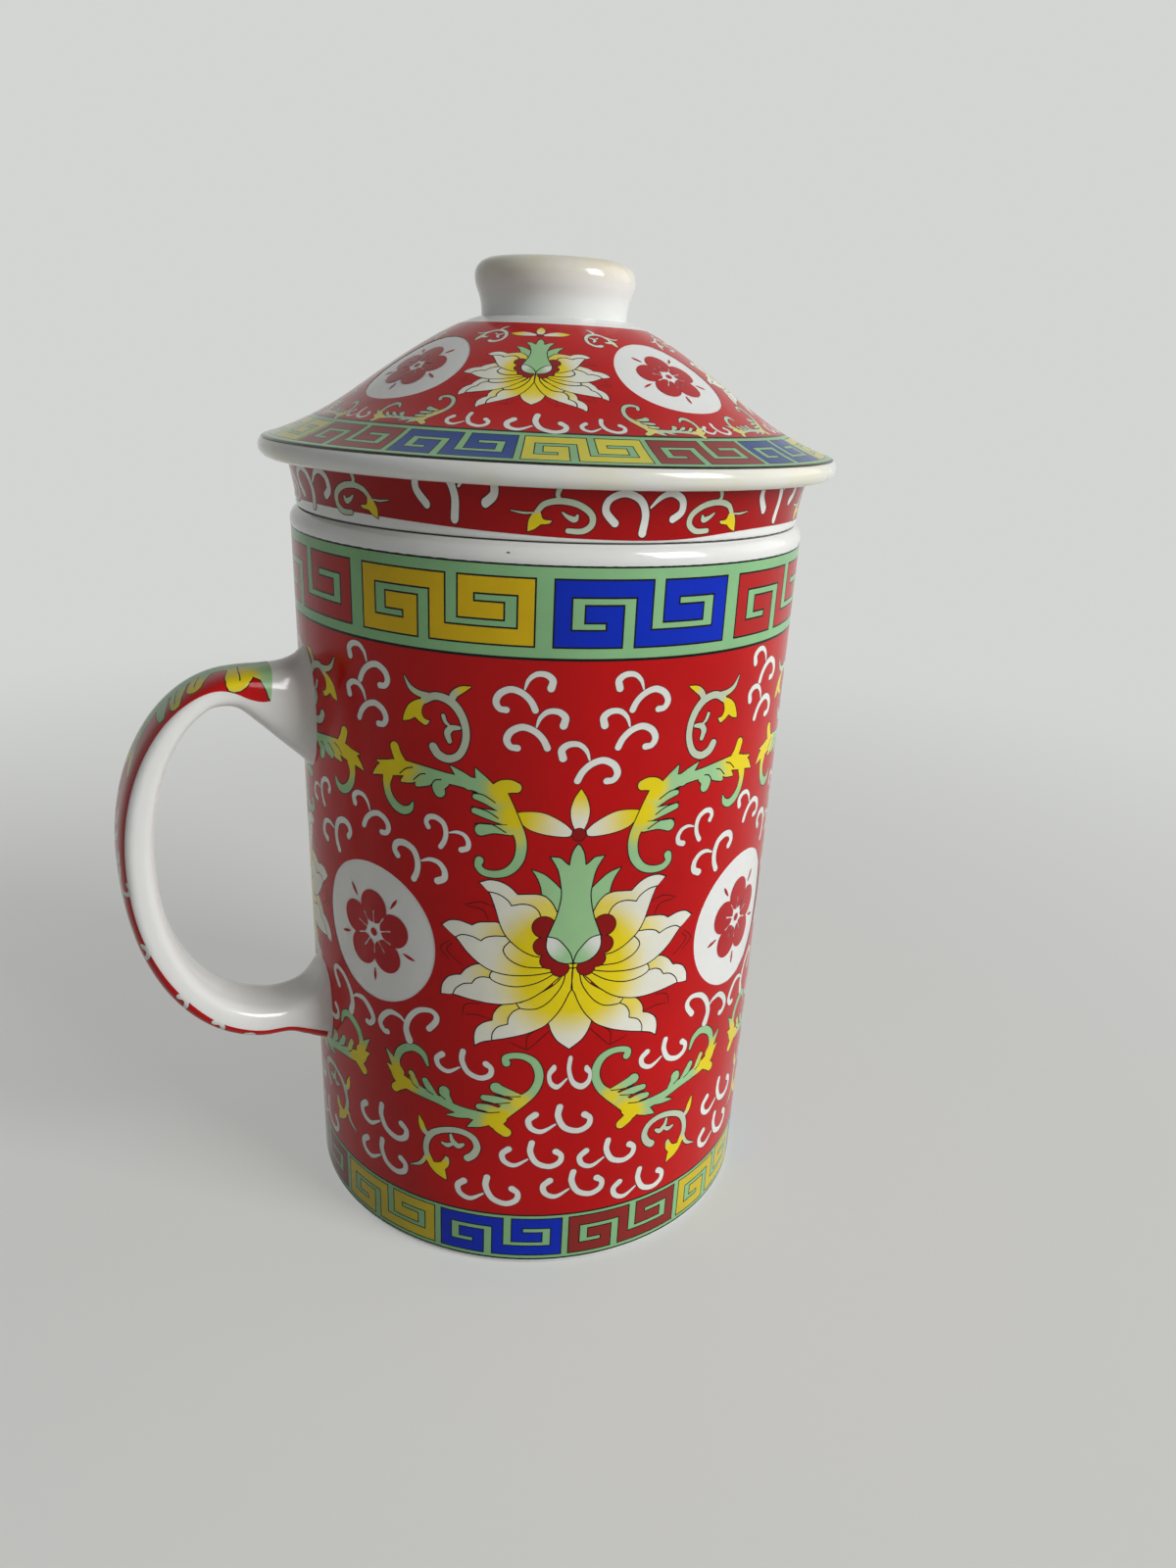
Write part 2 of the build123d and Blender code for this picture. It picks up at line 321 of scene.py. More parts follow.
petals += lipped_petal(
    [(23, 930), (28, 890), (50, 855), (80, 838), (105, 833)],
    [(125, 805), (155, 783), (185, 776), (240, 795)],
    [[(400, 800), (480, 790)],
     [(488, 810), (470, 830), (430, 870), (370, 912), (300, 935), (230, 940), (150, 933), (72, 922)]],
    [(125, 805), (155, 783), (185, 776)], [[(240, 795)], [(225, 805), (222, 828)]],
    [[(72, 922), (85, 895), (115, 870), (150, 862)], [(150, 862), (165, 840), (190, 828), (222, 828)]],
    [[(240, 795), (225, 805), (222, 828), (245, 845), (290, 857), (340, 857), (400, 840), (450, 812),
      (478, 790)]])
petals += lipped_petal(
    [(30, 628), (60, 605), (100, 600), (150, 612)],
    [(175, 597), (210, 591), (255, 592), (300, 640)],
    [[(420, 720), (470, 780)],
     [(450, 790), (380, 803), (300, 807), (230, 795), (175, 765), (130, 725), (85, 670)]],
    [(175, 597), (210, 591), (255, 592)], [[(285, 643)]],
    [[(85, 670), (110, 656), (150, 658), (185, 672)], [(185, 672), (205, 655), (240, 645), (285, 643)]],
    [[(298, 662), (275, 690), (275, 715), (300, 745), (350, 768), (400, 772), (455, 770)]])
petals += lipped_petal(
    [(180, 428), (215, 415), (255, 418), (290, 435), (322, 466)],
    [(360, 463), (400, 463), (440, 480), (470, 515), (480, 560)],
    [[(480, 640), (470, 740)],
     [(425, 725), (385, 718), (340, 695), (290, 650), (262, 600), (238, 520), (215, 462)]],
    [(360, 463), (400, 463), (440, 480), (470, 515), (480, 548)], [[(412, 555)]],
    [[(215, 462), (250, 468), (285, 490), (300, 512)],
     [(300, 512), (340, 503), (375, 508), (400, 528), (412, 555)]], fade=upper_fade)
petals += motif("maroon", [disc(425, 598, 44), disc(425, 680, 38), disc(446, 742, 32),
                           disc(490, 774, 34)], 4)
lotus += mirrored(petals, heart[0])
lotus += pen(5, [(541, 760), (541, 800), (538, 862)])
leaf_tint = [(541, 2000, 0, 1, 0.0)]
lotus += mirrored(motif("leaf", [outline(
    [(375, 362), (420, 380), (460, 415), (487, 445)], [(490, 490), (475, 535)],
    [(455, 495), (430, 468), (413, 460)],
    [(408, 430), (395, 395)])], 5, leaf_tint), heart[0])
lotus += motif("leaf", [two_sided(
    541, [(541, 257), (530, 270), (518, 300), (512, 342)], [(500, 335), (475, 312), (442, 308)],
    [(470, 360), (483, 420), (487, 470), (475, 540), (455, 600), (440, 640)],
    [(448, 690), (480, 735), (541, 755)])],
    5, leaf_tint)
lotus += mirrored(motif("bulb", [outline(
    [(440, 640), (475, 650), (505, 680), (528, 715), (538, 750)],
    [(515, 753), (480, 742), (450, 715), (437, 680)])],
    5, [(440, 655, 15, 110, 0.0)]), heart[0])
sprig = motif("petal", [brush((541, 40, 2), (541, 75, 44), (541, 120, 68), (541, 165, 58), (541, 205, 26))],
              4, [(541, 30, 30, 160, 0.0)])
sprig += mirrored(motif("petal", [outline(
    [(302, 140), (340, 131), (400, 132), (450, 152), (490, 178), (514, 202)],
    [(507, 222), (470, 224), (400, 213), (345, 190)])], 4, [(302, 150, 40, 220, 0.0)]), heart[0])
sprig += motif("maroon", [disc(540, 218, 25)], 3)
ghost = [brush((x0, y0, 4), (x1, y1, 5.5), (x2, y2, 4)) for x0, y0, x1, y1, x2, y2 in (
    (118, 528, 180, 508, 236, 524), (130, 532, 190, 540, 214, 580), (60, 690, 20, 730, 60, 775),
    (70, 700, 48, 735, 110, 790), (110, 1010, 125, 960, 180, 950), (125, 1005, 170, 1000, 230, 1012),
    (372, 1140, 372, 1085, 400, 1055), (376, 1140, 420, 1095, 462, 1050),
    (300, 1110, 372, 1140, 376, 1142))]
lotus = mirrored([("shadow", shape, ()) for shape in ghost], heart[0]) + lotus

# The scrolling leaves, also at twice their size. The upper one hangs from beside the sprig and
# runs to the medallion, the lower one grows from below the lotus.
upper_leaf = motif("leaf", [brush(*stroke) for stroke in (
    [(935, 757, 32), (931, 782, 26), (955, 804, 27), (1000, 807, 28), (1045, 790, 32), (1078, 750, 36),
     (1090, 700, 38), (1085, 650, 40), (1062, 600, 48), (1035, 550, 60), (1012, 500, 60), (1000, 470, 50)],
    [(1000, 500, 46), (1008, 465, 50), (1040, 455, 50), (1066, 458, 40)],
    [(1000, 500, 66), (940, 465, 54), (880, 455, 42), (820, 450, 38), (750, 445, 46), (690, 440, 50),
     (630, 440, 58), (570, 450, 60), (520, 468, 40), (480, 495, 3)],
    [(965, 475, 60), (938, 435, 38), (918, 398, 3)], [(895, 458, 50), (860, 430, 34), (824, 400, 3)],
    [(630, 440, 50), (602, 395, 40), (590, 364, 38)], [(580, 445, 52), (540, 440, 28), (502, 436, 3)],
    [(555, 480, 46), (548, 520, 33), (560, 565, 33), (590, 597, 35), (625, 608, 33), (655, 595, 24),
     (668, 568, 5)],
    [(690, 455, 50), (650, 475, 38), (620, 492, 10)], [(750, 455, 50), (715, 475, 40), (688, 493, 18)],
    [(800, 468, 34), (776, 484, 48), (780, 506, 44)],
    [(1010, 530, 50), (960, 513, 34), (918, 506, 20)], [(1025, 580, 50), (965, 570, 36), (915, 561, 22)],
    [(1050, 625, 40), (990, 626, 32), (950, 632, 42), (940, 634, 46)])],
    4.6, [(1030, 470, 40, 100, 0.0), (1062, 570, 35, 90, 0.0), (1075, 650, 10, 70, 0.3),
          (560, 410, 80, 180, 0.0)])
upper_leaf += pen(5, [(906, 490), (950, 497), (992, 522)], [(903, 545), (960, 557), (1003, 582)],
                  [(915, 612), (975, 607), (1032, 636)], [(668, 430), (640, 440), (612, 464)],
                  [(722, 446), (700, 452), (672, 478)], [(786, 458), (762, 464), (744, 488)])
lower_leaf = motif("leaf", [brush(*stroke) for stroke in (
    [(1132, 148, 32), (1128, 125, 27), (1155, 112, 26), (1200, 113, 28), (1240, 136, 32), (1262, 180, 34),
     (1262, 230, 34), (1240, 280, 36), (1200, 320, 46), (1150, 360, 58), (1110, 400, 58), (1088, 440, 50)],
    [(1090, 430, 54), (1110, 460, 48), (1136, 480, 44)],
    [(1200, 312, 30), (1150, 292, 34), (1108, 276, 42), (1092, 268, 48)],
    [(1150, 342, 40), (1090, 326, 34), (1042, 322, 26)],
    [(1110, 388, 44), (1060, 370, 34), (1022, 368, 26)],
    [(1110, 412, 58), (1020, 415, 48), (930, 400, 38), (850, 376, 38), (780, 362, 42), (700, 345, 52),
     (650, 330, 56), (620, 302, 36), (588, 284, 3)],
    [(1062, 420, 60), (1018, 447, 44), (975, 474, 3)], [(975, 410, 44), (932, 426, 26), (882, 437, 3)],
    [(682, 345, 50), (648, 370, 42), (630, 386, 40)], [(655, 300, 50), (622, 256, 34), (586, 214, 3)],
    [(650, 300, 42), (642, 250, 31), (660, 200, 33), (698, 168, 34), (740, 158, 33), (778, 178, 27),
     (797, 222, 12)],
    [(740, 350, 44), (726, 312, 36), (716, 286, 28)], [(822, 366, 44), (802, 332, 38), (784, 300, 28)],
    [(892, 376, 36), (874, 346, 44), (872, 326, 48)])],
    4.6, [(1112, 440, 50, 115, 0.0), (1190, 335, 15, 85, 0.1), (645, 345, 55, 135, 0.0)])
lower_leaf += pen(5, [(706, 296), (722, 332), (748, 348)], [(768, 306), (790, 342), (820, 356)],
                  [(846, 322), (850, 346), (876, 364)], [(1086, 303), (1140, 306), (1192, 302)],
                  [(1035, 343), (1090, 345), (1150, 334)], [(1015, 390), (1060, 392), (1108, 384)])

# Small scrolls with a yellow bud, and the white double curls strewn over the field.
upper_scroll = motif("stem", [brush(*stroke) for stroke in (
    [(756, 336, 33), (776, 362, 33), (815, 374, 29), (855, 355, 27), (878, 310, 27), (882, 260, 27),
     (868, 210, 29), (838, 168, 31), (800, 148, 29), (760, 146, 27), (722, 165, 28)],
    [(825, 160, 24), (838, 130, 26), (865, 110, 24), (898, 97, 3)],
    [(742, 148, 22), (700, 144, 22), (664, 126, 17), (640, 88, 3)],
    [(856, 252, 14), (828, 256, 22), (812, 276, 25), (820, 306, 18)],
    [(796, 214, 15), (805, 236, 13), (822, 250, 8)])]
    + [outline([(728, 160), (690, 170), (655, 195), (635, 235), (632, 256)], [(660, 248), (682, 234)],
               [(705, 250), (728, 258), (743, 240)], [(722, 235), (710, 215), (715, 190), (728, 172)])],
    4.4, [(672, 222, 50, 90, 0.0), (890, 100, 25, 65, 0.0)])
lower_scroll = motif("stem", [brush(*stroke) for stroke in (
    [(974, 632, 33), (1000, 610, 33), (1016, 570, 29), (1000, 530, 28), (960, 508, 27), (910, 506, 27),
     (855, 522, 27), (812, 550, 29), (788, 595, 27), (784, 645, 27), (802, 690, 30)],
    [(800, 565, 20), (774, 545, 26), (761, 512, 25), (752, 480, 4)],
    [(790, 650, 16), (775, 690, 18), (750, 722, 16), (703, 745, 3)],
    [(900, 532, 11), (908, 560, 21), (932, 580, 25), (955, 568, 14)],
    [(912, 572, 12), (885, 588, 21), (860, 582, 10)])]
    + [outline([(788, 680), (800, 715), (832, 746), (880, 766)], [(876, 735), (872, 715)],
               [(890, 690), (891, 655), (876, 646)], [(864, 668), (850, 685), (820, 692)])],
    4.4, [(840, 715, 50, 85, 0.0), (756, 505, 30, 60, 0.0)])
curl = motif("curl", [
    brush((-95, -18, 27), (-100, -47, 25), (-77, -67, 22), (-43, -67, 19), (-17, -45, 15), (-5, -12, 7)),
    brush((-43, 63, 24), (-27, 31, 23), (3, 3, 23), (43, -9, 24), (80, 8, 25), (95, 38, 25),
          (83, 63, 22), (58, 67, 24))], 2.2)
cup = motif("curl", [
    brush((-90, -25, 27), (-115, 0, 24), (-105, 35, 22), (-65, 50, 19), (-15, 20, 8)),
    brush((0, -58, 25), (-5, -15, 24), (20, 35, 24), (70, 55, 24), (110, 38, 24), (117, 5, 22),
          (95, -15, 27))], 2.2)
hook = motif("curl", [
    brush((-95, 28, 27), (-125, -10, 26), (-128, -40, 24), (-100, -57, 22), (-45, -42, 24),
          (-2, 5, 26), (15, 60, 29), (0, 110, 36)),
    brush((22, 30, 8), (50, 12, 17), (95, 10, 24), (135, 40, 27), (155, 80, 26), (135, 110, 24),
          (115, 110, 26))], 2.2)

# One repeat of the field, 60 mm wide, from medallion to medallion with the lotus between.
repeat = 845.7
half_repeat = repeat / 2
double = dict(size=0.5)
side_marks = (moved(upper_leaf, -650, 220, **double) + moved(lower_leaf, -690, 960, **double)
              + moved(upper_scroll, -650, 220, **double) + moved(lower_scroll, -690, 960, **double)
              + moved(curl, -108, 271, 0.5, True) + moved(curl, -86, 339, 0.52, True)
              + moved(curl, -246, 552, 0.43, True, 57) + moved(curl, -306, 621, 0.54, True, 50)
              + moved(hook, -335, 970, 0.5, True))
field = moved(lotus, -270.5, 430, **double) + moved(sprig, -270.5, 430, **double) + mirrored(side_marks, 0)
field += moved(curl, 15, 400, 0.53)
for x, y, size in ((-415, 258, 0.5), (-421, 332, 0.5), (-420, 550, 0.48)):
    field += moved(curl, x, y, size)
for x, y, size in ((217, 1050, 0.5), (-213, 1048, 0.5), (4, 1058, (0.36, 0.6)), (-13, 1168, 0.55),
                   (95, 1265, 0.53), (22, 1333, 0.55),
                   (177, 1363, 0.54), (-68, 1254, 0.53), (-160, 1349, 0.56), (-416, 1248, 0.58),
                   (-418, 1337, 0.56)):
    field += moved(cup, x, y, size)


def ray(degrees, *steps):
    """A straight brush stroke out from the middle, through (distance, width)."""
    angle = math.radians(degrees)
    return brush(*[(reach * math.cos(angle), reach * math.sin(angle), width) for reach, width in steps])


# The round medallions are bare glaze, each with a plain plum blossom in red.
medallion_radius = 151
blossom = [("bare", disc(0, 0, medallion_radius), ())]
for petal in range(5):
    tilt = math.radians(72 * petal - 90)
    blossom += [("seal", disc(56 * math.cos(tilt), 56 * math.sin(tilt), 36), ())]
blossom += [("bare", disc(0, 0, 17), ())]
for stamen in range(10):
    blossom += [("bare", ray(36 * stamen - 90, (16, 4), (34, 2.5), (46, 4)), ())]
blossom += [("seal", disc(0, 0, 9), ())]
for petal in range(5):
    blossom += [("seal", ray(72 * petal - 54, (82, 3), (96, 7), (108, 3)), ())]
field += moved(blossom, -half_repeat, 806)


def bar(points, width):
    """A ribbon of even width round square corners."""
    run = np.array(points, float)
    along = np.diff(run, axis=0)
    along /= np.linalg.norm(along, axis=1)[:, None]
    aside = along[:, ::-1] * (-1, 1)
    joint = np.vstack([aside[:1], aside[:-1] + aside[1:], aside[-1:]]) * width / 2
    return np.vstack([run + joint, (run - joint)[::-1]])


def fret(colour):
    """One panel of the fretwork, 660 by 230, a ribbon that winds into two hooks."""
    ribbon = bar([(108, 115), (210, 115), (210, 200), (29, 200), (29, 29), (315, 29), (315, 200),
                  (630, 200), (630, 29), (420, 29), (420, 115), (552, 115)], 54)
    return motif(colour, [ribbon], 6.5)


def box(left, top, right, bottom):
    return np.array([(left, top), (right, top), (right, bottom), (left, bottom)], float)


def divided(shape, most):
    """The same closed shape with no edge longer than most."""
    reach = np.roll(shape, -1, 0) - shape
    count = np.maximum(np.ceil(np.hypot(*reach.T) / most), 1).astype(int)
    part = (np.arange(count.sum()) - np.repeat(np.cumsum(count) - count, count)) / np.repeat(count, count)
    return np.repeat(shape, count, 0) + np.repeat(reach, count, 0) * part[:, None]


def thinned(shape, slack=0.12):
    """The same closed shape without points that a straight edge can spare."""
    for _ in range(3):
        before, after = np.roll(shape, 1, 0), np.roll(shape, -1, 0)
        chord = after - before
        off = np.abs(chord[:, 0] * (shape - before)[:, 1] - chord[:, 1] * (shape - before)[:, 0])
        spare = (off < slack * np.hypot(*chord.T)) & (np.arange(len(shape)) % 2 == 1)
        if len(shape) - spare.sum() > 4:
            shape = shape[~spare]
    return shape


repeats = 4
turn_length = repeats * repeat
band_colours = ("bar yellow", "bar blue", "bar red")
field_top, field_bottom = 213, 1408
wide = turn_length / 2 + 10
mug_marks = [("red", box(-wide, field_top, wide, field_bottom), ())]
for number in range(-2, 3):
    mug_marks += moved(field, number * repeat)
mug_marks += [("line", box(-wide, field_bottom - 1, wide, 1526), ()),
              ("ground", box(-wide, field_bottom + 3, wide, 1522), ())]
foot_panels = 12
for number in range(-7, 8):
    place = -130 + number * turn_length / foot_panels
    mug_marks += moved(fret(("dull yellow", "bar blue", "dull red")[(number + 1) % 3]), place - 133,
                       1419, (266 / 660, 95 / 230))


def inside(shape, spots):
    """Which spots lie inside a closed shape, however it crosses itself."""
    x, y = spots[:, 0, None], spots[:, 1, None]
    x0, y0 = shape.T
    x1, y1 = np.roll(shape, -1, 0).T
    side = (x1 - x0) * (y - y0) - (x - x0) * (y1 - y0)
    upward = (y0 <= y) & (y1 > y) & (side > 0)
    downward = (y0 > y) & (y1 <= y) & (side < 0)
    return upward.sum(1) != downward.sum(1)


white, lemon, leaf_green = (0.76, 0.77, 0.72), (0.80, 0.635, 0.008), (0.33, 0.58, 0.29)
tints = {"petal": (lemon, (0.80, 0.80, 0.70)), "leaf": (lemon, leaf_green),
         "bulb": (white, leaf_green), "curl": (white, white),
         "stem": (lemon, (0.53, 0.59, 0.44)), "pale leaf": ((0.74, 0.66, 0.20), (0.50, 0.60, 0.43)),
         "pale stem": ((0.74, 0.70, 0.50), (0.68, 0.66, 0.58))}


def fire_print(name, body, marks, surface, sheet, grid=22.0):
    """Cuts a flat sheet of marks into its colours, the last mark on top, and lays each
    colour on the ware. surface turns flat places into places and outward directions."""
    left, right = sheet[:, 0].min(), sheet[:, 0].max()
    marks = [(ink, thinned(shape), fade) for ink, shape, fade in marks
             if shape[:, 0].max() > left and shape[:, 0].min() < right]
    spots, edges = [], []
    for shape in [sheet] + [shape for _, shape, _ in marks]:
        shape = divided(shape, grid)
        first, count = len(spots), len(shape)
        spots += shape.tolist()
        edges += [(first + here, first + (here + 1) % count) for here in range(count)]
    low, high = sheet.min(0), sheet.max(0)
    for row, y in enumerate(np.arange(low[1] + grid / 2, high[1], grid * 0.87)):
        spots += [(x, y) for x in np.arange(low[0] + grid / 2 * (row % 2), high[0], grid)]
    made = delaunay_2d_cdt([Vector(spot) for spot in spots], edges, [], 0, 1e-4, False)
    flat = np.array([tuple(spot) for spot in made[0]])
    faces = np.array(made[2])
    middle = flat[faces].mean(1)
    order = np.argsort(middle[:, 0])
    ordered = middle[order, 0]
    owner = np.full(len(faces), -1)

    def covered(shape):
        """The faces that lie in a shape."""
        (left, top), (right, bottom) = shape.min(0), shape.max(0)
        near = order[np.searchsorted(ordered, left):np.searchsorted(ordered, right)]
        near = near[(middle[near, 1] > top) & (middle[near, 1] < bottom)]
        return near[inside(shape, middle[near])]

    for number, (_, shape, _) in enumerate(marks):
        owner[covered(shape)] = number
    off_sheet = np.ones(len(faces), bool)
    off_sheet[covered(sheet)] = False
    owner[off_sheet] = -1
    place, facing = surface(flat)
    a, b, c = place[faces[:, 0]], place[faces[:, 1]], place[faces[:, 2]]
    if np.sum(np.cross(b - a, c - a) * facing[faces[:, 0]]) < 0:
        faces = faces[:, ::-1]
    kept = flat[faces[owner >= 0].ravel()]
    low, span = kept.min(0), np.ptp(kept, 0)
    inks = [mark[0] for mark in marks]
    groups = {}
    for ink in dict.fromkeys(inks):
        groups.setdefault("shaded" if ink in tints else ink, []).append(ink)
    for group, members in groups.items():
        wanted = [number for number, ink in enumerate(inks) if ink in members]
        chosen = np.flatnonzero(np.isin(owner, wanted))
        if group == "bare" or not len(chosen):
            continue
        used, corners = np.unique(faces[chosen], return_inverse=True)
        corners = corners.reshape(-1, 3)
        mesh = bpy.data.meshes.new(name + " " + group)
        mesh.from_pydata(place[used].tolist(), [], corners.tolist())
        where = flat[used][corners.ravel()]
        chart = mesh.uv_layers.new(name="OFBake")
        chart.data.foreach_set("uv", (0.004 + 0.992 * (where - low) / span).ravel())
        if group == "shaded":
            colours = np.ones((len(corners) * 3, 4))
            for number in np.unique(owner[chosen]):
                near_tint, far_tint = (np.array(tint) for tint in tints[inks[number]])
                spot = np.repeat(owner[chosen] == number, 3)
                tone = np.ones(spot.sum())
                for x, y, near, far, least in marks[number][2]:
                    away = np.clip((np.hypot(*(where[spot] - (x, y)).T) - near) / (far - near), 0, 1)
                    away = away * away * (3 - 2 * away)
                    tone = np.minimum(tone, least + (1 - least) * away)
                colours[spot, :3] = near_tint + (far_tint - near_tint) * tone[:, None]
            layer = mesh.color_attributes.new("tint", "FLOAT_COLOR", "CORNER")
            layer.data.foreach_set("color", colours.ravel())
        mesh.shade_smooth()
        mesh.normals_split_custom_set_from_vertices(facing[used].tolist())
        piece = bpy.data.objects.new((name + " " + group).replace(" ", "_"), mesh)
        mesh.materials.append(enamel(group))
        bpy.context.collection.objects.link(piece)
        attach(piece, body)


enamel_colours = {
    # Of these reds, the collar's is the cup's red darkened: painted shade of the lid's brim.
    "red": (0.50, 0.003, 0.004), "painted shade red": (0.37, 0.003, 0.004), "maroon": (0.28, 0.006, 0.006),
    "seal": (0.45, 0.012, 0.016), "line": (0.006, 0.0055, 0.005),
    "shadow": (0.13, 0.003, 0.003), "ground": (0.25, 0.50, 0.24), "bar yellow": (0.70, 0.46, 0.006),
    "bar blue": (0.001, 0.024, 0.48), "bar red": (0.44, 0.012, 0.012),
    "pale yellow": (0.68, 0.61, 0.06), "dull yellow": (0.60, 0.47, 0.025),
    "dull blue": (0.010, 0.055, 0.26), "dull red": (0.27, 0.022, 0.018)}


def enamel(group):
    """Fired enamel: glassy, a little uneven where it was printed and where it flowed."""
    name = group + " enamel"
    if name in bpy.data.materials:
        return bpy.data.materials[name]
    material = bpy.data.materials.new(name)
    material.use_nodes = True
    tree = material.node_tree
    shader = tree.nodes["Principled BSDF"]
    marks = add(tree, "Group", {"node_tree": kiln})
    marks.inputs["Ripple size"].default_value = 190
    if group == "shaded":
        ink = add(tree, "Attribute", {"attribute_name": "tint"}).outputs["Color"]
    else:
        ink = (*enamel_colours[group], 1)
    value = add(tree, "MapRange", Value=marks.outputs["Cloud"], From_Min=0.3, From_Max=0.7,
                To_Min=0.86, To_Max=1.1)
    colour = add(tree, "HueSaturation", Color=ink, Value=value.outputs[0])
    tree.links.new(colour.outputs[0], shader.inputs["Base Color"])
    gloss = add(tree, "MapRange", Value=marks.outputs["Cloud"], From_Min=0.3, From_Max=0.7,
                To_Min=0.13, To_Max=0.2)
    tree.links.new(gloss.outputs[0], shader.inputs["Roughness"])
    relief = add(tree, "Bump", Height=marks.outputs["Ripples"], Strength=0.3, Distance=0.0003)
    tree.links.new(relief.outputs[0], shader.inputs["Normal"])
    shader.inputs["Specular IOR Level"].default_value = 0.14
    return material


def turned(angle, height, radius, slope):
    """Places on a turned wall and the directions that face out of it. slope is the radius
    gained for each metre up."""
    steep = np.sqrt(1 + slope ** 2)
    outward = np.stack([np.cos(angle) / steep, np.sin(angle) / steep, -slope / steep], 1)
    place = np.stack([radius * np.cos(angle), radius * np.sin(angle), height], 1)
    return place + outward * print_lift, outward


base_radius, rim_radius, mug_height = 0.036, 0.0375, 0.109
wall_slope = (rim_radius - base_radius) / mug_height
sheet_top = 0.110
lotus_angle = math.radians(-106.6)
squeeze = math.radians(2.61)        # the back repeats are a little narrower than the front ones


def mug_wall(flat):
    height = sheet_top - flat[:, 1] * UNIT
    round_ = flat[:, 0] * 2 * np.pi / turn_length
    angle = lotus_angle + round_ + squeeze * np.sin(round_)
    return turned(angle, height, base_radius + wall_slope * height, np.full(len(flat), wall_slope))


fire_print("mug print", "mug", mug_marks, mug_wall,
           box(-turn_length / 2, field_top, turn_length / 2, 1526))

# The upper band is a decal of its own, nine wide panels of fretwork on pale green.
band_angle = math.radians(-115)
band_marks = [("line", box(-wide, 46, wide, field_top), ()), ("ground", box(-wide, 51.5, wide, 208), ())]
rim_panels = 9
for number in range(-6, 7):
    place = (number - 0.5) * turn_length / rim_panels
    band_marks += moved(fret(band_colours[number % 3]), place - 171, 72, (342 / 660, 117 / 230))


def mug_brow(flat):
    height = sheet_top - flat[:, 1] * UNIT
    angle = band_angle + flat[:, 0] * 2 * np.pi / turn_length
    return turned(angle, height, base_radius + wall_slope * height, np.full(len(flat), wall_slope))


# Two iron spots burnt through the glaze of the rim.
band_marks += [("line", disc(-66, 32, 3.6, 0.8), ()), ("line", disc(-59, 35, 2.6), ())]
fire_print("rim band", "mug", band_marks, mug_brow,
           box(-turn_length / 2, 20, turn_length / 2, field_top))

# ---- handle: the strap ------------------------------------------------------------------------
# A strap of clay cast apart from the cup and luted on, flat outside with rounded edges and
# thick where it joins the wall. It stands in for the plain strap of the frame.
def bow(middle, reach, first, last, count, fullness=2.0):
    """Points of an ellipse about middle, angles in degrees above level. More fullness squares it."""
    angle = np.radians(np.linspace(first, last, count))
    wave = np.stack([np.cos(angle), np.sin(angle)], 1)
    return np.array(middle) + np.array(reach) * np.sign(wave) * np.abs(wave) ** (2 / fullness)


outer_line = np.vstack([[(35.0, 91.8), (37.3, 90.7), (38.4, 89.5), (40.4, 88.6), (43.2, 88.2),
                         (46.0, 88.0)],
                        bow((46.0, 61.3), (18.45, 26.6), 80, 0, 9, 2.06),
                        bow((42.8, 61.3), (21.65, 30.6), -10, -90, 9, 2.15),
                        [(40.0, 29.0), (36.4, 27.0), (34.5, 26.3)]])
inner_line = np.vstack([[(35.0, 71.5), (37.1, 72.8), (38.6, 74.4), (41.2, 76.9), (44.6, 80.3),
                         (47.6, 82.9)],
                        bow((48.7, 61.3), (11.0, 22.3), 80, 0, 9),
                        bow((43.0, 61.3), (16.7, 25.3), -10, -90, 9, 2.12),
                        [(39.2, 37.4), (36.6, 41.0), (34.5, 42.5)]])
stations = len(outer_line)
strap_half = np.interp(np.arange(stations), [0, 3, 5, 9, 14, 20, 22, 24, 26],
                       [4.2, 4.2, 4.7, 5.3, 5.5, 5.4, 5.0, 4.5, 4.2])
squareness = np.interp(np.arange(stations), [0, 2, 6, stations - 5, stations - 1],
                       [2.1, 2.3, 3.2, 3.2, 2.4])
strap = spline(np.column_stack([outer_line, inner_line, strap_half, squareness]), step=0.9)
girth = np.radians(np.linspace(-180, 180, 73))
wave = np.stack([np.cos(girth), np.sin(girth)])[:, None]
wave = np.sign(wave) * np.abs(wave) ** (2 / strap[:, 5:])
middle_line, depth_line = (strap[:, :2] + strap[:, 2:4]) / 2, (strap[:, :2] - strap[:, 2:4]) / 2
rings = np.stack([-(middle_line[:, :1] + depth_line[:, :1] * wave[0]), strap[:, 4:5] * wave[1],
                  middle_line[:, 1:] + depth_line[:, 1:] * wave[0]], 2) / 1000
around = len(girth) - 1
handle_faces = [(row * around + here, row * around + (here + 1) % around,
                 (row + 1) * around + (here + 1) % around, (row + 1) * around + here)
                for row in range(len(rings) - 1) for here in range(around)]
handle_faces += [tuple(range(around))[::-1], tuple(range((len(rings) - 1) * around, len(rings) * around))]
handle_mesh = bpy.data.meshes.new("handle strap")
handle_mesh.from_pydata(rings[:, :-1].reshape(-1, 3).tolist(), [], handle_faces)
handle_mesh.shade_smooth()
handle_mesh.materials.append(mug_glaze)
handle = bpy.data.objects.new("handle_strap", handle_mesh)
bpy.context.collection.objects.link(handle)
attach(handle, "mug")
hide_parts("mug_handle")

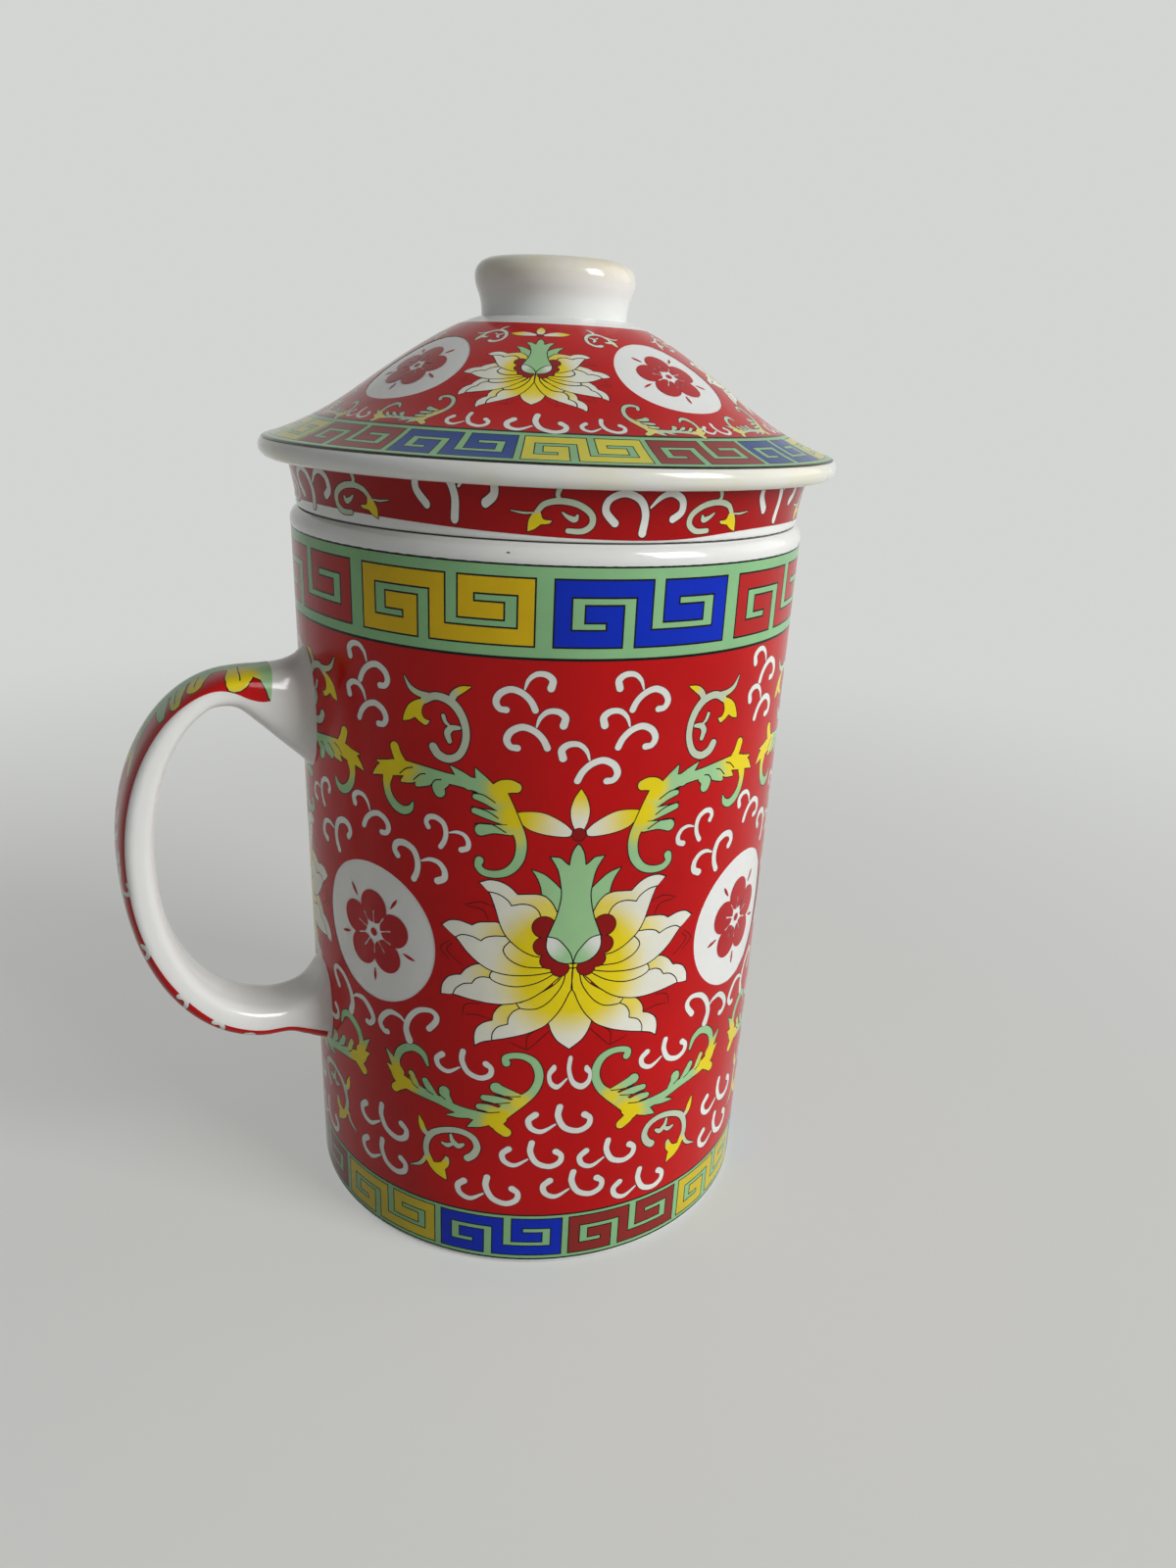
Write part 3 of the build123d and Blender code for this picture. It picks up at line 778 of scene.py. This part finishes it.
# ---- handle: its decal ------------------------------------------------------------------------
# One printed strip down the outer face, turned over both edges, with a leaf on the arm and
# curls below it. It is drawn with x along the crest from the upper joint and y across.
crest = len(girth) // 2
crest_run = np.linalg.norm(np.diff(rings[:, crest], axis=0), axis=1)
crest_run = np.concatenate([[0], np.cumsum(crest_run)]) / UNIT
ring_run = np.concatenate([np.zeros((len(rings), 1)),
                           np.cumsum(np.linalg.norm(np.diff(rings, axis=1), axis=2), axis=1)], 1)
ring_run = (ring_run - ring_run[:, crest:crest + 1]) / UNIT
across = np.linspace(-125, 125, 101)
skin = np.array([[np.interp(across, run, ring[:, axis]) for axis in range(3)]
                 for run, ring in zip(ring_run, rings)]).transpose(0, 2, 1)
skin_facing = np.cross(np.gradient(skin, axis=0), np.gradient(skin, axis=1))
skin_facing /= np.linalg.norm(skin_facing, axis=2)[:, :, None]
skin_facing *= -np.sign(skin_facing[len(skin) // 2, len(across) // 2, 0])


def strap_skin(flat):
    row = np.interp(flat[:, 0], crest_run, np.arange(len(skin)))
    column = np.interp(flat[:, 1], across, np.arange(len(across)))
    low = np.minimum(row.astype(int), len(skin) - 2), np.minimum(column.astype(int), len(across) - 2)
    part = (row - low[0])[:, None], (column - low[1])[:, None]
    place, facing = (sum(field[low[0] + down, low[1] + over] * (part[0] if down else 1 - part[0])
                         * (part[1] if over else 1 - part[1]) for down in (0, 1) for over in (0, 1))
                     for field in (skin, skin_facing))
    facing /= np.linalg.norm(facing, axis=1)[:, None]
    return place + facing * print_lift, facing


strap_end = 1352
# Half the strip's width along it: widest at the upper joint, a little wider again low down.
strip_halves = ((150, 100), (250, 70), (500, 65), (750, 72), (1000, 86), (1200, 80), (strap_end, 68))
strap_sheet = outline([(114, 98), (120, -100)], [(along, -half) for along, half in strip_halves],
                      [(strap_end, strip_halves[-1][1])],
                      [(along, half) for along, half in strip_halves[-2::-1]])
handle_marks = [("red", box(100, -130, 1400, 130), ())]
handle_marks += motif("leaf", [brush(*stroke) for stroke in (
    [(110, 10, 158), (150, 14, 128), (190, 26, 66), (240, 28, 44), (300, 30, 40), (370, 26, 36),
     (430, 12, 26), (476, -12, 4)],
    [(160, 20, 56), (174, -20, 50), (182, -50, 52), (184, -60, 46)],
    [(236, 20, 34), (256, -8, 34), (268, -34, 32)], [(288, 20, 34), (304, -16, 32), (314, -46, 24)],
    [(330, 22, 30), (342, -12, 28), (350, -42, 18)], [(420, 14, 24), (452, -6, 22), (478, -26, 12)],
    [(190, 30, 40), (208, 62, 36), (222, 84, 26)], [(260, 34, 36), (280, 60, 30), (296, 76, 20)],
    [(330, 32, 30), (352, 54, 24), (372, 64, 14)], [(430, 14, 20), (456, 24, 18), (480, 30, 8)])]
    + [outline([(100, 20), (100, -118)], [(121, -98), (130, -78), (150, -46)], [(166, 10)])],
    2.3, [(186, -46, 24, 58, 0.0), (266, -32, 20, 50, 0.0), (312, -46, 8, 46, 0.35), (478, -5, 22, 55, 0.1),
          (222, 84, 20, 50, 0.1)])
handle_marks += pen(2.6, [(108, 74), (150, 68), (188, 48)], [(108, 52), (150, 48), (190, 38)],
                    [(108, 30), (150, 28), (188, 26)],
                    [(108, 8), (150, 8), (166, 4)], [(200, 26), (300, 32), (400, 20)],
                    [(176, 6), (180, -26), (180, -60)],
                    [(250, 10), (260, -10), (267, -30)], [(298, 10), (308, -16), (314, -40)])
handle_marks += moved(upper_scroll, 772 - 800 * 0.4, 8 - 250 * 0.4, 0.4)
for place, side, size, tilt in ((560, 34, 0.42, 80), (620, 2, 0.46, 100), (690, -30, 0.42, 80),
                                (845, -26, 0.46, 60),
                                (900, 36, 0.46, 100), (980, -34, 0.48, 70), (1010, 42, 0.46, 90),
                                (1076, -36, 0.46, 80),
                                (1100, 40, 0.46, 100), (1146, -26, 0.45, 95), (1205, 20, 0.46, 90),
                                (1290, 0, 0.44, 80)):
    handle_marks += moved(curl, place, side, size, False, tilt)
fire_print("handle print", "mug", handle_marks, strap_skin, strap_sheet, 6.0)

# ---- infuser --------------------------------------------------------------------------------
# A slip-cast basket with a pierced floor that hangs in the cup. Only its flared collar shows,
# with a printed strip of curls and small scrolls.
infuser_glaze = porcelain("infuser clear glaze")
coat_node("infuser", infuser_glaze)

# Where the collar sits on the rim, a dark band is painted into the glaze colour: painted shadow of the seam
# between collar and rim.
seam_shadow_colour = (0.030, 0.025, 0.018, 1)
seat_dark, seat_unshaded = 0.00012, 0.00034    # how far from the rim's plane the painted shadow ends
seat_inside = 0.0352                        # nearer to the axis there is no painted shadow
tree = infuser_glaze.node_tree
place = add(tree, "TexCoord").outputs["Object"]
off_seat = add(tree, "Math", {"operation": "SUBTRACT"},
               _0=add(tree, "SeparateXYZ", _0=place).outputs["Z"], _1=mug_height)
off_seat = add(tree, "Math", {"operation": "ABSOLUTE"}, _0=off_seat.outputs[0])
seam_shadow_mask = add(tree, "MapRange", {"interpolation_type": "SMOOTHSTEP"}, Value=off_seat.outputs[0],
                From_Min=seat_dark, From_Max=seat_unshaded, To_Min=1.0, To_Max=0.0)
from_axis = add(tree, "VectorMath", {"operation": "MULTIPLY"}, _0=place, _1=(1, 1, 0))
from_axis = add(tree, "VectorMath", {"operation": "LENGTH"}, _0=from_axis.outputs[0])
outside = add(tree, "Math", {"operation": "GREATER_THAN"}, _0=from_axis.outputs["Value"], _1=seat_inside)
seam_shadow_mask = add(tree, "Math", {"operation": "MULTIPLY"}, _0=seam_shadow_mask.outputs[0], _1=outside.outputs[0])
base_colour = tree.nodes["Principled BSDF"].inputs["Base Color"]
# The glaze colour darkened towards the seat: painted shadow of the seam.
seam_shaded = add(tree, "Mix", {"data_type": "RGBA"}, Factor=seam_shadow_mask.outputs[0],
              _6=base_colour.links[0].from_socket, _7=seam_shadow_colour)
tree.links.new(seam_shaded.outputs[2], base_colour)

collar_period = 648.7               # a fifth of the way round
collar_bow = motif("curl", [
    brush((1175, 180, 26), (1140, 140, 25), (1150, 100, 23), (1200, 80, 23), (1255, 100, 25),
          (1280, 150, 26), (1275, 213, 28)),
    brush((1296, 125, 8), (1330, 90, 18), (1370, 78, 23), (1410, 100, 25), (1415, 140, 26),
          (1385, 165, 27))], 3.2)
collar_scroll = motif("stem", [
    brush((905, 150, 17), (930, 122, 19), (980, 110, 21), (1040, 120, 21), (1085, 150, 21),
          (1090, 185, 21), (1060, 208, 19),
          (1010, 208, 17)),
    brush((985, 112, 12), (972, 92, 14), (978, 68, 18)), brush((895, 152, 4), (862, 154, 7), (820, 148, 3)),
    brush((990, 148, 6), (1008, 162, 14), (1032, 170, 20), (1040, 156, 8)),
    outline([(892, 152), (878, 180), (875, 215)], [(898, 206), (918, 190)], [(948, 186), (955, 176)],
            [(926, 172), (915, 148)])],
    3.2, [(910, 194, 32, 54, 0.0)])
collar_top = 24
collar_slips = {-1: 26}              # repeats that were laid too far to the left
# The collar's red ground is darker than the cup's red: painted shade of the lid's brim that hangs over it.
collar_marks = [("painted shade red", outline([(-1700, collar_top), (1700, collar_top)], [(1700, 108)],
                                [(1300, 105), (900, 112), (450, 106), (225, 118), (72, 117),
                                 (-72, 112), (-270, 105),
                                 (-468, 102), (-800, 108), (-1250, 114), (-1700, 108)]), ())]
for number in range(-3, 4):
    middle = 164 + number * collar_period - collar_slips.get(number, 0)
    collar_marks += moved(mirrored(collar_scroll, 1270), middle - 635, 0, 0.5)
    collar_marks += moved(collar_bow, middle - 638, 0, 0.5)
    collar_marks += moved(collar_bow, middle - collar_period / 2 - 636, -38, (0.5, 0.62))
seat_height, collar_neck_radius, collar_lip_radius = 0.117, 0.0367, 0.0379
collar_bend, collar_bend_half = 0.1112, 0.00082
collar_sheet_top = 0.118
collar_slope = (collar_lip_radius - collar_neck_radius) / (seat_height - collar_bend)


def collar_wall(flat):
    height = collar_sheet_top - flat[:, 1] * UNIT
    past = np.clip(height - collar_bend + collar_bend_half, 0, 2 * collar_bend_half)
    radius = (collar_neck_radius + collar_slope * past ** 2 / (4 * collar_bend_half)
              + collar_slope * np.maximum(height - collar_bend - collar_bend_half, 0))
    angle = band_angle + flat[:, 0] * 2 * np.pi / (5 * collar_period)
    return turned(angle, height, radius, collar_slope * past / (2 * collar_bend_half))


fire_print("collar print", "infuser", collar_marks, collar_wall,
           box(-2.5 * collar_period, collar_top, 2.5 * collar_period, 125))

# ---- lid: the shell ---------------------------------------------------------------------------
# A low dished cone with a rolled brim, glazed white. The brim has yellowed with use.
lid_glaze = porcelain("lid clear glaze", stain=(0.76, 0.74, 0.60, 1), stain_at=(0.1195, 0.1180))
shell = coat_node("lid_shell", lid_glaze)

# ---- lid: the printed enamels -----------------------------------------------------------------
# The same flowers, medallions, leaves and fretwork as on the cup, four times round the cone.
# They are drawn as seen from above, in the same units, with the front of the mug at the bottom.
lotus_radius = 196.5                # from the knob to the top of the drawn lotus
heavier = 2.5                       # the lid's black lines are wider on both sides by this


def bolder(marks, swap=()):
    """The same marks with heavier black lines, and with some inks swapped."""
    swap = dict(swap)
    return [(swap.get(ink, ink), grown(shape, heavier) if ink == "line" else shape, fade) for ink,
            shape, fade in marks]


lotus_size, sprig_size, scroll_size = (0.253, 0.182), (0.225, 0.150), (0.235, 0.165)
lid_quarter = moved(bolder(lotus), -heart[0] * lotus_size[0] - 3, lotus_radius, lotus_size)
lid_quarter += moved(bolder(sprig), -heart[0] * sprig_size[0] - 6, 199, sprig_size)
lid_leaf = moved(bolder(lower_leaf, [("leaf", "pale leaf")]), -388.6, 256.3, (0.22, 0.185), turn=20)
lid_scroll = moved(bolder(upper_scroll, [("stem", "pale stem")]), -84 - 815 * scroll_size[0],
                   219 - 255 * scroll_size[1], scroll_size)
lid_quarter += lid_leaf + moved(lid_leaf, 14, -4, flip=True) + lid_scroll + moved(lid_scroll, 8, -2,
                                                                                  flip=True)
lid_quarter += moved(cup, 11, 448, (0.43, 0.35))
for x, y, tilt in ((-106, 434, 14), (122, 432, -17)):
    lid_quarter += moved(cup, x, y, (0.32, 0.27), turn=tilt)
lid_quarter += moved(moved(blossom, 0, 326, (0.76, 0.56)) + moved(cup, 0, 449, (0.27, 0.23)), turn=45)
field_edge, band_edge, table_edge = 472, 569, 188
lid_turn = 29.5                     # the lid can be put on at any turn
lid_marks = [("line", disc(0, 0, band_edge + 5), ())]
lid_marks += [("ground", disc(0, 0, edge), ()) for edge in range(band_edge, band_edge - 25, -5)]
band_middle = (field_edge + band_edge) / 2


def bent(marks, radius):
    """A straight band of marks bent round the centre. x runs along that radius, y is the way out."""
    result = []
    for colour, shape, fade in marks:
        shape = divided(shape, 12)
        angle = shape[:, 0] / radius
        result.append((colour, np.stack([shape[:, 1] * np.sin(angle), shape[:, 1] * np.cos(angle)], 1),
                       fade))
    return result


lid_panels = 15
for number in range(lid_panels):
    place = band_middle * math.radians(-18.5 + number * 360 / lid_panels)
    colour = ("pale yellow", "dull red", "dull blue")[number % 3]
    lid_marks += bent(moved(fret(colour), place - 103, band_middle - 37, (206 / 660, 74 / 230)),
                      band_middle)
lid_marks += [("line", disc(0, 0, field_edge + 2.5), ()), ("red", disc(0, 0, field_edge - 2), ())]
for number in range(4):
    lid_marks += moved(lid_quarter, turn=lid_turn + number * 90)
lid_marks += [("bare", disc(0, 0, table_edge), ())]
brim_thickness, brim_middle = 0.0030, 0.1172
brim_centre = 0.0415 - brim_thickness / 2
knob_foot = 0.0109                  # radius at which the knob stands on the cone
cone_top, cone_foot, shell_depth = 0.1352, 0.1187, 0.0022
shell_rings = np.array([shell.matrix_world @ corner.co for corner in shell.data.vertices])
shell_radius = np.hypot(shell_rings[:, 0], shell_rings[:, 1])
cone_profile = {}
for radius, height in zip(shell_radius.round(5), shell_rings[:, 2]):
    if knob_foot <= radius <= brim_centre:
        cone_profile[radius] = max(height, cone_profile.get(radius, 0))
cone_radii = np.array(sorted(cone_profile))
cone_heights = np.array([cone_profile[radius] for radius in cone_radii])
topmost = cone_heights > np.interp(cone_radii, (knob_foot, brim_centre),
                                   (cone_top, cone_foot)) - shell_depth
cone_curve = np.polynomial.Polynomial.fit(cone_radii[topmost], cone_heights[topmost], 12)


def lid_top(flat):
    radius = np.maximum(np.hypot(*flat.T) * UNIT, 1e-6)
    angle = np.arctan2(-flat[:, 1], flat[:, 0])
    past = np.clip((radius - brim_centre) / (brim_thickness / 2), 0, 0.95)
    level = np.sqrt(1 - past ** 2)
    height = np.where(past > 0, brim_middle + brim_thickness / 2 * level, cone_curve(radius))
    rise = np.where(past > 0, -past / level, cone_curve.deriv()(radius))
    steep = np.sqrt(1 + rise ** 2)
    facing = np.stack([-rise * np.cos(angle) / steep, -rise * np.sin(angle) / steep, 1 / steep], 1)
    place = np.stack([radius * np.cos(angle), radius * np.sin(angle), height], 1)
    return place + facing * print_lift, facing


fire_print("lid print", "lid", lid_marks, lid_top, disc(0, 0, band_edge + 5))

# ---- lid: the knob ------------------------------------------------------------------------------
# A turned ring with a dished top, luted to the shell and glazed white, with tea in the glaze
# round its crest.
coat_node("lid_knob", porcelain("knob clear glaze", stain=(0.72, 0.66, 0.50, 1), stain_at=(0.1385, 0.1425)))

# ---- floor and light ------------------------------------------------------------------------
# A plain pale table top that runs into a pale backdrop, with a soft window light from the right.
backdrop = (0.66, 0.67, 0.65)
floor = bpy.data.objects.new("floor", bpy.data.meshes.new("floor"))
floor.data.from_pydata([(-4, -4, 0), (4, -4, 0), (4, 4, 0), (-4, 4, 0)], [], [(0, 1, 2, 3)])
bpy.context.collection.objects.link(floor)


def seen(tree):
    """1 for rays from the eye, a mirror or a glass, 0 for rays that carry light."""
    path = add(tree, "LightPath").outputs
    either = add(tree, "Math", {"operation": "MAXIMUM"}, _0=path["Is Camera Ray"], _1=path["Is Glossy Ray"])
    return add(tree, "Math", {"operation": "MAXIMUM"}, _0=either.outputs[0],
               _1=path["Is Transmission Ray"]).outputs[0]


floor_finish = bpy.data.materials.new("table top")
floor_finish.use_nodes = True
tree = floor_finish.node_tree
stone = tree.nodes["Principled BSDF"]
stone.inputs["Base Color"].default_value = (0.69, 0.69, 0.665, 1)
stone.inputs["Roughness"].default_value = 0.5
stone.inputs["Specular IOR Level"].default_value = 0.2
spread = add(tree, "VectorMath", {"operation": "LENGTH"}, _0=add(tree, "TexCoord").outputs["Object"])
far = add(tree, "MapRange", {"interpolation_type": "SMOOTHSTEP"}, Value=spread.outputs["Value"],
          From_Min=0.08, From_Max=0.42, To_Min=0.52, To_Max=1.0)
share = add(tree, "Math", {"operation": "MULTIPLY"}, _0=far.outputs[0], _1=seen(tree))
glow = add(tree, "Emission", Color=(*backdrop, 1), Strength=1.0)
mixed = add(tree, "MixShader", _0=share.outputs[0], _1=stone.outputs[0], _2=glow.outputs[0])
tree.links.new(mixed.outputs[0], tree.nodes["Material Output"].inputs["Surface"])
floor.data.materials.append(floor_finish)


def soft_box(name, place, aim, width, height, watts):
    """A soft rectangular lamp that faces a point."""
    lamp = bpy.data.lights.new(name, "AREA")
    lamp.shape = "RECTANGLE"
    lamp.size, lamp.size_y = width, height
    lamp.energy = watts
    holder = bpy.data.objects.new(name, lamp)
    holder.location = place
    holder.rotation_euler = (Vector(aim) - Vector(place)).to_track_quat("-Z", "Y").to_euler()
    bpy.context.collection.objects.link(holder)


soft_box("window", (0.84, -1.22, 0.80), (0, 0, 0.07), 0.66, 0.96, 23.0)
soft_box("side window", (1.5, -0.10, 0.80), (0, 0, 0.07), 1.2, 1.4, 4.2)
soft_box("pale wall", (-1.2, 0.55, 0.60), (0, 0, 0.07), 1.0, 1.2, 0.7)
world = bpy.context.scene.world or bpy.data.worlds.new("room")
bpy.context.scene.world = world
world.use_nodes = True
tree = world.node_tree
room = tree.nodes["Background"]
room.inputs["Color"].default_value = (0.97, 1.0, 0.99, 1)
room.inputs["Strength"].default_value = 0.105
pale = add(tree, "Background", Color=(*backdrop, 1), Strength=1.0)
both = add(tree, "MixShader", _0=seen(tree), _1=room.outputs[0], _2=pale.outputs[0])
tree.links.new(both.outputs[0], tree.nodes["World Output"].inputs["Surface"])
bpy.context.scene.view_settings.view_transform = "Standard"
